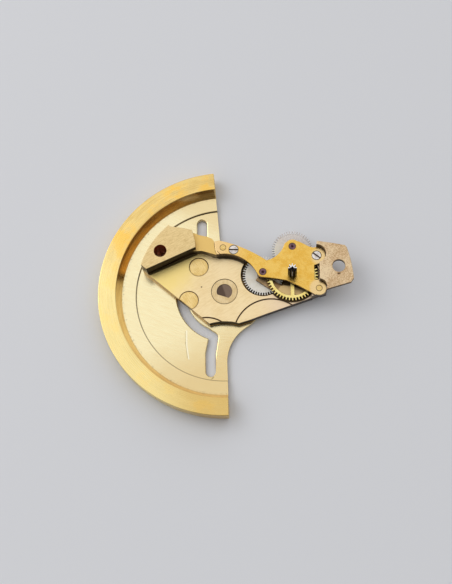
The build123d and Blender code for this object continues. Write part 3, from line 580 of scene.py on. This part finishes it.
def rubyFinish():
    look = {"pale": tint(122, 62, 82), "deep": tint(78, 34, 44), "sink": tint(160, 120, 140)}
    ruby = Finish("syntheticRuby")
    place = ruby.place()
    cloud = ruby.ramp(ruby.noise(place, 5), 0.35, 0.7)
    base = ruby.mix(cloud, look["deep"], look["pale"])
    sink = sum(ruby.disc(place, centre, 0.13, 0.05) for centre in jewelPlaces)
    base = ruby.mix(sink * 0.6, base, look["sink"])
    return ruby.dress(Base_Color=base, Roughness=0.12, IOR=1.76, Normal=ruby.relief(cloud, 0.001))


def milkyFinish(name, centre, alpha, thin, flank):
    look = {
        "pale": tint(252, 246, 234), "deep": tint(244, 234, 214),
        "rim": tint(252, 250, 244), "pink": tint(236, 214, 196), "rimRange": (1.70, 1.90),
    }
    milky = Finish(name)
    place = milky.place()
    x, y = milky.parts(place)[:2]
    cloud = milky.ramp(milky.noise(place, 1.2, 4), 0.3, 0.7)
    base = milky.mix(cloud, look["deep"], look["pale"])
    rim = milky.ramp(milky.radius(place, centre), *look["rimRange"])
    base = milky.mix(rim * 0.6, base, look["rim"])
    # The moulding is thinner and pinker towards one side.
    thinner = milky.ramp(x - centre[0] + (y - centre[1]) * 1.4, -1.6, 1.6)
    base = milky.mix(thinner * (1 - thin), base, look["pink"])
    solid = alpha + (thin - alpha) * thinner + rim * 0.12 * (1 - thinner)
    # The teeth's flanks are painted dark, as shade between the teeth.
    gapShade = milky.walls() * (1 - thinner * 0.7)
    base = milky.mix(gapShade, base, flank)
    return milky.dress(
        Base_Color=base, Roughness=0.3, Alpha=milky.ramp(solid + gapShade * 0.8),
        Normal=milky.relief(milky.noise(place, 9), 0.003),
    )


def axleFinish():
    look = {"pale": tint(124, 106, 92), "deep": tint(92, 76, 66), "line": tint(86, 72, 66)}
    axle = Finish("axleSteel")
    x, y = axle.parts(axle.place())[:2]
    grain = axle.brushed(axle.place(70), 10, 2)
    half = axle.ramp(x * 0.95 + y * 0.3 + grain * 0.25, 0.02, 0.22)
    base = axle.mix(half, look["deep"], look["pale"])
    base = axle.mix(axle.ramp(grain, 0.55, 0.75) * 0.4, base, look["line"])
    return axle.dress(
        Base_Color=base, Metallic=1, Roughness=axle.dull(grain, 0.28, 0.4),
        Normal=axle.relief(grain, 0.003),
    )


rimGilt, webGilt, plateGilt, bridgeGilt = rimFinish(), webFinish(), plateFinish(plateMarks), bridgeFinish()
wheelBrass = brassFinish("wheelBrass", tint(255, 238, 158), tint(238, 210, 120), 0.20, dirtAndShadeShare=0.2)
# Parts deep under the plate are painted dark, as shade.
hiddenBrass = brassFinish("hiddenBrass", tint(112, 84, 42), tint(70, 48, 22), 0.34)
plugBrass = brassFinish("plugBrass", tint(244, 214, 148), tint(226, 192, 120), 0.30, turn=60)
pinBrass = brassFinish("pinBrass", tint(240, 208, 136), tint(222, 186, 112), 0.28, turn=10)
washerBrass = brassFinish("washerBrass", tint(232, 208, 162), tint(212, 184, 134), 0.32, turn=80)
screwSteel = steelFinish("screwSteel", tint(236, 230, 224), tint(196, 186, 178), 0.14, (2.10, 2.29))
hiddenScrew = steelFinish("hiddenScrew", tint(210, 206, 202), tint(170, 164, 160), 0.2)
# The arbors and clicks are painted dark brown, as shade under the bridge.
arborSteel = steelFinish("arborSteel", tint(60, 42, 30), tint(34, 20, 12), 0.3)
pinionSteel, axleSteel, syntheticRuby = pinionFinish(), axleFinish(), rubyFinish()
milkyNear = milkyFinish("milkyNear", jewelPlaces[0], 0.97, 0.95, tint(50, 42, 34))
milkyFar = milkyFinish("milkyFar", jewelPlaces[1], 0.80, 0.34, tint(120, 112, 104))

finishes = {
    "rotor_weight": rimGilt, "rotor_web": webGilt, "main_plate": plateGilt, "upper_bridge": bridgeGilt,
    "lower_bridge": hiddenBrass, "axle_bush": hiddenBrass, "rotor_gear": hiddenBrass,
    "plate_plugs": plugBrass, "steady_pins": pinBrass,
    "axle_washer": washerBrass, "output_wheel": wheelBrass,
    "bridge_screws": screwSteel, "lower_bridge_screws": hiddenScrew,
    "rotor_axle": axleSteel, "output_pinion": pinionSteel,
    "near_reversing_arbor": arborSteel, "far_reversing_arbor": arborSteel,
    "near_clicks": arborSteel, "far_clicks": arborSteel,
    "near_upper_jewel": syntheticRuby, "far_upper_jewel": syntheticRuby,
    "near_lower_jewel": syntheticRuby, "far_lower_jewel": syntheticRuby, "output_jewel": syntheticRuby,
    "near_reversing_wheel": milkyNear, "far_reversing_wheel": milkyFar,
}
for name, material in finishes.items():
    nodes[name].data.materials.clear()
    nodes[name].data.materials.append(material)
print("finishes ready")


class Maker(NodeTree):
    # A Geometry Nodes tree with named inputs, whose result becomes a plain mesh.
    def __init__(self, name, **inputs):
        super().__init__(bpy.data.node_groups.new(name, "GeometryNodeTree"))
        face = self.tree.interface
        for way in ("INPUT", "OUTPUT"):
            face.new_socket("Geometry", in_out=way, socket_type="NodeSocketGeometry")
        inputs["Finish"] = "Material"
        self.sockets = {
            label: face.new_socket(label, in_out="INPUT", socket_type="NodeSocket" + kind)
            for label, kind in inputs.items()
        }

    def given(self, label):
        return self.node("NodeGroupInput", {}, {}, label)

    def moved(self, geometry, x, y, z):
        held = {"Geometry": geometry, "Translation": self.join(x, y, z)}
        return self.node("GeometryNodeTransform", {}, held)

    def shaped(self, count, radius, angle):
        # A ring of points, each at its own radius and angle, as a closed curve.
        held = {"Vertices": count, "Radius": 1}
        circle = self.node("GeometryNodeMeshCircle", {"fill_type": "NONE"}, held)
        place = self.join(radius * self.maths("COSINE", angle), radius * self.maths("SINE", angle), 0)
        outline = self.node("GeometryNodeSetPosition", {}, {"Geometry": circle, "Position": place})
        return self.node("GeometryNodeMeshToCurve", {}, {"Mesh": outline})

    def end(self, geometry):
        whole = self.node("GeometryNodeRealizeInstances", {}, {"Geometry": geometry})
        held = {"Geometry": whole, "Material": self.given("Finish")}
        dressed = self.node("GeometryNodeSetMaterial", {}, held)
        self.node("NodeGroupOutput", {}, {0: dressed})

    def make(self, name, values, start=None):
        piece = addObject(name, start or bpy.data.meshes.new(name))
        modifier = piece.modifiers.new("maker", "NODES")
        modifier.node_group = self.tree
        for label, value in values.items():
            modifier[self.sockets[label].identifier] = value
        return plainMesh(piece)


def plainMesh(piece):
    # What the modifiers show becomes the piece's own mesh.
    bpy.context.view_layer.update()
    result = bpy.data.meshes.new_from_object(piece.evaluated_get(bpy.context.evaluated_depsgraph_get()))
    piece.modifiers.clear()
    piece.data = result
    return piece


def flatNormals(mesh, angle=50):
    # Broad faces shade flat and the narrow strips between them blend.
    around = [[] for vertex in mesh.vertices]
    for face in mesh.polygons:
        face.use_smooth = True
        for vertex in face.vertices:
            around[vertex].append(face)
    limit = math.cos(math.radians(angle))
    normals = [None] * len(mesh.loops)
    for face in mesh.polygons:
        for loop, vertex in zip(face.loop_indices, face.vertices):
            near = [other for other in around[vertex] if other.normal.dot(face.normal) > limit]
            normals[loop] = sum((other.normal * other.area for other in near), Vector()).normalized()
    mesh.normals_split_custom_set(normals)


# Edges that turn by more degrees than this are broken, on CAD copies and on the pieces made here.
copyAngle, madeAngle = 32, 50


def softEdge(piece, width, angle=madeAngle, segments=2, weighted=False):
    # Sharp edges get a small bevel, by angle or by the weights already on them.
    bevel = piece.modifiers.new("softEdge", "BEVEL")
    bevel.width = width * mm
    bevel.segments = segments
    bevel.limit_method = "WEIGHT" if weighted else "ANGLE"
    bevel.angle_limit = math.radians(angle)
    bevel.use_clamp_overlap = False
    plainMesh(piece)
    flatNormals(piece.data)


def fit(piece, body, node):
    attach(piece, body)
    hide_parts(node)


def mergedCopy(node, name, finish, weld=0.0004, flat=0.4):
    # A CAD node's mesh is loose triangles, so its copy is merged into clean faces.
    mesh = nodes[node].data.copy()
    work = bmesh.new()
    work.from_mesh(mesh)
    bmesh.ops.remove_doubles(work, verts=work.verts, dist=weld * mm)
    bmesh.ops.dissolve_limit(work, angle_limit=math.radians(flat), verts=work.verts, edges=work.edges)
    work.to_mesh(mesh)
    work.free()
    mesh.materials.clear()
    mesh.materials.append(finish)
    return addObject(name, mesh)


# Heavy rim: one section, rounded at its corners and swept round the half turn.
rimPlan = {
    "inner": 11.1804, "root": 10.6204, "web": 11.6004, "radius": 13.0004, "height": 1.9, "ringTop": 0.63,
    "bevel": 0.4, "start": 95, "sweep": 177, "steps": 220, "corner": 0.07, "cornerSteps": 3,
    "endEdge": 0.04, "endAngle": 60,
}


def makeRim(plan):
    sweep = Maker("rimSweep", Radius="Float", Start="Float", Sweep="Float", Steps="Int", Corner="Float")
    section = sweep.node("GeometryNodeMeshToCurve", {}, {"Mesh": sweep.given("Geometry")})
    held = {"Count": plan["cornerSteps"], "Radius": sweep.given("Corner"), "Limit Radius": True}
    rounded = sweep.node("GeometryNodeFilletCurve", {"mode": "POLY"}, {"Curve": section, **held})
    path = sweep.node(
        "GeometryNodeCurveArc", {"mode": "RADIUS"},
        {"Resolution": sweep.given("Steps"), "Radius": sweep.given("Radius"),
         "Start Angle": sweep.given("Start"), "Sweep Angle": sweep.given("Sweep")},
    )
    held = {"Curve": path, "Profile Curve": rounded, "Fill Caps": True}
    sweep.end(sweep.node("GeometryNodeCurveToMesh", {}, held))
    outer, low = plan["radius"], plan["web"]
    corners = [
        (low, 0), (outer - plan["bevel"], 0), (outer, plan["bevel"]), (outer, plan["height"]),
        (plan["inner"], plan["height"]), (plan["root"], plan["ringTop"]), (low, plan["ringTop"]),
    ]
    # The sweep lays the section's x outwards and its y downwards.
    places = [((radius - outer) * mm, -level * mm, 0) for radius, level in reversed(corners)]
    edges = [(corner, (corner + 1) % len(corners)) for corner in range(len(corners))]
    mesh = bpy.data.meshes.new("rimSection")
    mesh.from_pydata(places, edges, [])
    values = {
        "Radius": outer * mm, "Start": math.radians(plan["start"]), "Sweep": math.radians(plan["sweep"]),
        "Steps": plan["steps"], "Corner": plan["corner"] * mm, "Finish": rimGilt,
    }
    piece = sweep.make("heavyRim", values, mesh)
    softEdge(piece, plan["endEdge"], plan["endAngle"])
    fit(piece, "rotor", "rotor_weight")


makeRim(rimPlan)
print("rim swept")

# Toothed wheels: watch teeth with straight feet and round tips. Heights and widths are shares of
# the module and of the tooth.
toothForm = {
    "points": 12, "flankSteps": 5, "roundTurn": 80, "tipHeight": 0.95, "footWidth": 1.05, "holeSides": 64,
    "windowSteps": 16, "windowCorner": 0.09, "cornerSteps": 3, "weld": 0.0005,
}


def wheelMaker(form):
    wheel = Maker(
        "toothedWheel", Teeth="Int", Module="Float", Phase="Float", Share="Float", Root="Float",
        Hole="Float", Bottom="Float", Thickness="Float", CentreX="Float", CentreY="Float",
        Windows="Int", WindowOuter="Float", WindowInner="Float", SpokeHalf="Float",
    )
    given = wheel.given
    teeth, points, steps = given("Teeth"), form["points"], form["flankSteps"]
    # A tooth's points run up one flank, over the tip and down the other flank to the next foot.
    index = wheel.node("GeometryNodeInputIndex", {}, {})
    step = index % points
    tooth = (index - step) / points
    late = step > steps + 0.5
    side = late * 2 - 1
    flank = step + late * (points - 1 - step * 2)
    foot = flank < 0.5
    turn = (flank - 1) * math.radians(form["roundTurn"] / (steps - 1))
    height = wheel.maths("SINE", turn) * form["tipHeight"] * (1 - foot) - foot * given("Root")
    width = wheel.maths("COSINE", turn) * (1 - foot) + foot * form["footWidth"]
    radius = given("Module") * (teeth / 2 + height)
    angle = given("Phase") + (tooth * 2 * math.pi + side * width * given("Share") * math.pi) / teeth
    outline = wheel.shaped(teeth * points, radius, angle)
    held = {"Resolution": form["holeSides"], "Radius": given("Hole")}
    hole = wheel.node("GeometryNodeCurvePrimitiveCircle", {"mode": "RADIUS"}, held)
    # One window between two spokes, turned round the wheel.
    half = form["windowSteps"]
    inward = index > half - 0.5
    along = (index - inward * half) / (half - 1)
    reach = given("WindowOuter") + inward * (given("WindowInner") - given("WindowOuter"))
    lean = wheel.maths("ARCSINE", given("SpokeHalf") / reach)
    span = 2 * math.pi / given("Windows")
    forward = along + inward * (1 - along * 2)
    window = wheel.shaped(2 * half, reach, lean + (span - lean * 2) * forward)
    held = {"Count": form["cornerSteps"], "Radius": form["windowCorner"] * mm, "Limit Radius": True}
    window = wheel.node("GeometryNodeFilletCurve", {"mode": "POLY"}, {"Curve": window, **held})
    spots = wheel.node("GeometryNodePoints", {}, {"Count": given("Windows")})
    held = {"Points": spots, "Instance": window, "Rotation": wheel.join(0, 0, index * span)}
    turned = wheel.node("GeometryNodeInstanceOnPoints", {}, held)
    windows = wheel.node("GeometryNodeRealizeInstances", {}, {"Geometry": turned})
    curves = wheel.node("GeometryNodeJoinGeometry", {}, {"Geometry": [outline, hole, windows]})
    flat = wheel.node("GeometryNodeFillCurve", {"mode": "TRIANGLES"}, {"Curve": curves})
    held = {"Offset Scale": given("Thickness"), "Offset": wheel.join(0, 0, 1), "Individual": False}
    upper = wheel.node("GeometryNodeExtrudeMesh", {"mode": "FACES"}, {"Mesh": flat, **held})
    under = wheel.node("GeometryNodeFlipFaces", {}, {"Mesh": flat})
    both = wheel.node("GeometryNodeJoinGeometry", {}, {"Geometry": [upper, under]})
    solid = wheel.node("GeometryNodeMergeByDistance", {}, {"Geometry": both, "Distance": form["weld"] * mm})
    wheel.end(wheel.moved(solid, given("CentreX"), given("CentreY"), given("Bottom")))
    return wheel


toothedWheel = wheelMaker(toothForm)


def makeWheel(name, plan, finish):
    lengths = {
        "Module": "module", "Hole": "hole", "Bottom": "bottom", "Thickness": "thickness",
        "WindowOuter": "windowOuter", "WindowInner": "windowInner", "SpokeHalf": "spokeHalf",
    }
    values = {label: plan.get(key, 0.0) * mm for label, key in lengths.items()}
    values.update({
        "Teeth": plan["teeth"], "Phase": math.radians(plan["phase"]),
        "Share": plan["share"], "Root": plan["root"],
        "CentreX": plan["centre"][0] * mm, "CentreY": plan["centre"][1] * mm,
        "Windows": plan.get("windows", 0), "Finish": finish,
    })
    return toothedWheel.make(name, values)


goldWheelPlan = {
    "centre": outputPlace, "teeth": 48, "module": 0.106, "phase": -90, "share": 0.37, "root": 1.6,
    "hole": 0.34, "bottom": 1.6, "thickness": 0.25, "edge": 0.012,
    "windows": 4, "windowOuter": 2.1115, "windowInner": 0.62, "spokeHalf": 0.18,
}


def makeGoldWheel(plan):
    piece = makeWheel("goldWheel", plan, wheelBrass)
    softEdge(piece, plan["edge"])
    fit(piece, "output", "output_wheel")


makeGoldWheel(goldWheelPlan)


def cutAway(piece, tool):
    cut = piece.modifiers.new("cut", "BOOLEAN")
    cut.operation = "DIFFERENCE"
    cut.object = tool
    plainMesh(piece)
    bpy.data.objects.remove(tool)


def pieceFrom(work, name, finish):
    mesh = bpy.data.meshes.new(name)
    work.to_mesh(mesh)
    work.free()
    mesh.materials.append(finish)
    return addObject(name, mesh)


def turnedBody(name, outline, centre, finish, sides=64):
    # A turned piece: its outline, as radii and levels from the axis back to the axis, spun round.
    work = bmesh.new()

    def corner(radius, level, turn):
        x, y = centre[0] + radius * math.cos(turn), centre[1] + radius * math.sin(turn)
        return work.verts.new((x * mm, y * mm, level * mm))

    turns = [2 * math.pi * side / sides for side in range(sides)]
    rings = [
        [corner(radius, level, turn) for turn in (turns if radius else turns[:1])]
        for radius, level in outline
    ]
    for low, high in zip(rings, rings[1:]):
        for side in range(sides):
            around = [(low, side), (low, side + 1), (high, side + 1), (high, side)]
            corners = [ring[step % len(ring)] for ring, step in around]
            work.faces.new(list(dict.fromkeys(corners)))
    return pieceFrom(work, name, finish)


def joined(name, pieces, finish):
    # Several closed meshes become one piece.
    work = bmesh.new()
    for piece in pieces:
        work.from_mesh(piece.data)
        bpy.data.objects.remove(piece)
    for face in work.faces:
        face.material_index = 0
    return pieceFrom(work, name, finish)


# Reversing wheels, with the pocket for their clicks underneath.
milkyWheels = {
    "nearWheel": {
        "body": "near_wheel", "node": "near_reversing_wheel",
        "centre": jewelPlaces[0], "phase": 199.95, "finish": milkyNear,
    },
    "farWheel": {
        "body": "far_wheel", "node": "far_reversing_wheel",
        "centre": jewelPlaces[1], "phase": 59.30, "finish": milkyFar,
    },
}
milkyShape = {
    "teeth": 48, "module": 0.085, "share": 0.42, "root": 2.3, "hole": 0.22, "bottom": 0.84,
    "thickness": 0.20, "edge": 0.01, "pocket": 1.0, "pocketTop": 0.95, "pocketStart": 0.74,
}


def makeMilkyWheel(name, plan):
    piece = makeWheel(name, plan, plan["finish"])
    low, high, reach = plan["pocketStart"], plan["pocketTop"], plan["pocket"]
    pocket = [(0, low), (reach, low), (reach, high), (0, high)]
    cutAway(piece, turnedBody("pocket", pocket, plan["centre"], plan["finish"]))
    softEdge(piece, plan["edge"])
    fit(piece, plan["body"], plan["node"])


for name, plan in milkyWheels.items():
    makeMilkyWheel(name, {**milkyShape, **plan})

# Output pinion: eight tall leaves on a turned arbor, whose outline is in radii and levels.
pinionPlan = {
    "centre": outputPlace, "teeth": 8, "module": 0.092, "phase": -90, "share": 0.42, "root": 1.25,
    "hole": 0.09, "bottom": 2.45, "thickness": 1.95, "edge": 0.012,
    "arbor": [
        (0, 1.08), (0.10, 1.08), (0.10, 1.43), (0.62, 1.43), (0.62, 1.60), (0.34, 1.60), (0.34, 1.88),
        (0.22, 1.88), (0.22, 2.45), (0.10, 2.45), (0.10, 4.57), (0.07, 4.60), (0, 4.60),
    ],
}


def makePinion(plan):
    leaves = makeWheel("leaves", plan, pinionSteel)
    arbor = turnedBody("arbor", plan["arbor"], plan["centre"], pinionSteel)
    piece = joined("outputPinion", [leaves, arbor], pinionSteel)
    softEdge(piece, plan["edge"])
    fit(piece, "output", "output_pinion")


makePinion(pinionPlan)


# Slotted screws: one tree makes the head, its slot and the shank, at each of its places.
def screwMaker():
    screw = Maker(
        "slottedScrew", Head="Float", HeadHeight="Float", Shank="Float", Length="Float",
        SlotWidth="Float", SlotDepth="Float", Level="Float", Tip="Float",
    )
    given = screw.given

    def cylinder(radius, depth, sides):
        held = {"Vertices": sides, "Radius": radius, "Depth": depth}
        return screw.node("GeometryNodeMeshCylinder", {}, held)

    def boolean(operation, **meshes):
        held = {label.replace("_", " "): mesh for label, mesh in meshes.items()}
        return screw.node("GeometryNodeMeshBoolean", {"operation": operation, "solver": "EXACT"}, held)

    headHeight, length = given("HeadHeight"), given("Length")
    head = screw.moved(cylinder(given("Head"), headHeight, 64), 0, 0, headHeight * -0.5)
    shank = screw.moved(cylinder(given("Shank"), length, 48), 0, 0, length * -0.5 - headHeight * 0.75)
    size = screw.join(given("Head") * 3, given("SlotWidth"), given("SlotDepth") * 2)
    slot = screw.node("GeometryNodeMeshCube", {}, {"Size": size})
    cut = boolean("DIFFERENCE", Mesh_1=boolean("UNION", Mesh_2=[head, shank]), Mesh_2=slot)
    turn = screw.node("GeometryNodeInputNamedAttribute", {"data_type": "FLOAT"}, {"Name": "slotTurn"})
    held = {"Points": given("Geometry"), "Instance": cut, "Rotation": screw.join(given("Tip"), 0, turn)}
    placed = screw.node("GeometryNodeInstanceOnPoints", {}, held)
    screw.end(screw.moved(placed, 0, 0, given("Level")))
    return screw


slottedScrew = screwMaker()
bridgeScrews = {
    "head": 0.46, "headHeight": 0.22, "shank": 0.22, "length": 1.0, "slotWidth": 0.11, "slotDepth": 0.10,
    "level": 2.35, "tip": 0, "places": screwPlaces, "slots": [-2, -38], "edge": 0.03,
}
lowerScrews = {
    "head": 0.34, "headHeight": 0.12, "shank": 0.17, "length": 0.50, "slotWidth": 0.08, "slotDepth": 0.06,
    "level": 0.53, "tip": 180, "places": [(4.2707, -1.6229), (7.7585, 0.7118)], "slots": [0, 0],
    "edge": 0.015,
}


def makeScrews(name, plan, finish, node):
    mesh = bpy.data.meshes.new(name)
    mesh.from_pydata([(x * mm, y * mm, 0) for x, y in plan["places"]], [], [])
    turns = mesh.attributes.new("slotTurn", "FLOAT", "POINT")
    turns.data.foreach_set("value", [math.radians(slot) for slot in plan["slots"]])
    lengths = {
        "Head": "head", "HeadHeight": "headHeight", "Shank": "shank", "Length": "length",
        "SlotWidth": "slotWidth", "SlotDepth": "slotDepth", "Level": "level",
    }
    values = {label: plan[key] * mm for label, key in lengths.items()}
    values.update({"Tip": math.radians(plan["tip"]), "Finish": finish})
    piece = slottedScrew.make(name, values, mesh)
    softEdge(piece, plan["edge"])
    fit(piece, "bridge", node)


makeScrews("bridgeScrews", bridgeScrews, screwSteel, "bridge_screws")
makeScrews("lowerScrews", lowerScrews, hiddenScrew, "lower_bridge_screws")
print("train and screws made")

# Pieces that keep their CAD shape, with their edges broken and their round walls smooth.
softPieces = {
    "main_plate": ("mainPlate", "bridge", "plate_brass", 0.02),
    "upper_bridge": ("upperBridge", "bridge", "bridge_gilt", 0.02),
    "rotor_axle": ("rotorAxle", "rotor", "steel", 0.03),
    "axle_washer": ("axleWasher", "rotor", "washer_brass", 0.008),
    "plate_plugs": ("platePlugs", "bridge", "plug_brass", 0.008),
    "steady_pins": ("steadyPins", "bridge", "plug_brass", 0.02),
}
for node, (name, body, slot, width) in softPieces.items():
    piece = mergedCopy(node, name, finishes[node])
    softEdge(piece, width, copyAngle)
    fit(piece, body, node)

# Rotor web: the slots are pressed, so their upper edges are well rounded. A slot's own edges lie
# between two angles and left of a line, which leaves out the hub and the cut of the half disc.
webPlan = {
    "edge": 0.14, "plainShare": 0.2, "top": 0.43, "topGap": 0.01, "slotReach": (3.6, 8.9),
    "slots": [(178, 263, -0.55), (98, 162, -0.85)],
    "bend": (-0.69, -4.06), "bendReach": 1.2, "bendShift": (-0.13, -0.20), "bendSide": -0.45,
}


def onSlot(middle, plan):
    low, high = plan["slotReach"]
    turn = math.degrees(math.atan2(middle.y, middle.x)) % 360
    near = any(start < turn < end and middle.x < side for start, end, side in plan["slots"])
    return near and low < math.hypot(middle.x, middle.y) < high


def makeWeb(plan):
    piece = mergedCopy("rotor_web", "rotorWeb", webGilt)
    work = bmesh.new()
    work.from_mesh(piece.data)
    # The outer corner of the lower slot's bend is drawn in.
    for corner in work.verts:
        x, y = corner.co.x / mm, corner.co.y / mm
        away = math.hypot(x - plan["bend"][0], y - plan["bend"][1]) / plan["bendReach"]
        if away < 1 and x < plan["bendSide"]:
            corner.co += Vector((*plan["bendShift"], 0)) * mm * (1 - away * away) ** 2
    weight = work.edges.layers.float.new("bevel_weight_edge")
    for edge in work.edges:
        if len(edge.link_faces) == 2 and edge.calc_face_angle() > math.radians(copyAngle):
            middle = (edge.verts[0].co + edge.verts[1].co) / 2 / mm
            level = all(abs(corner.co.z / mm - plan["top"]) < plan["topGap"] for corner in edge.verts)
            edge[weight] = 1 if level and onSlot(middle, plan) else plan["plainShare"]
    work.to_mesh(piece.data)
    work.free()
    softEdge(piece, plan["edge"], copyAngle, segments=4, weighted=True)
    fit(piece, "rotor", "rotor_web")


makeWeb(webPlan)
print("pieces ready")
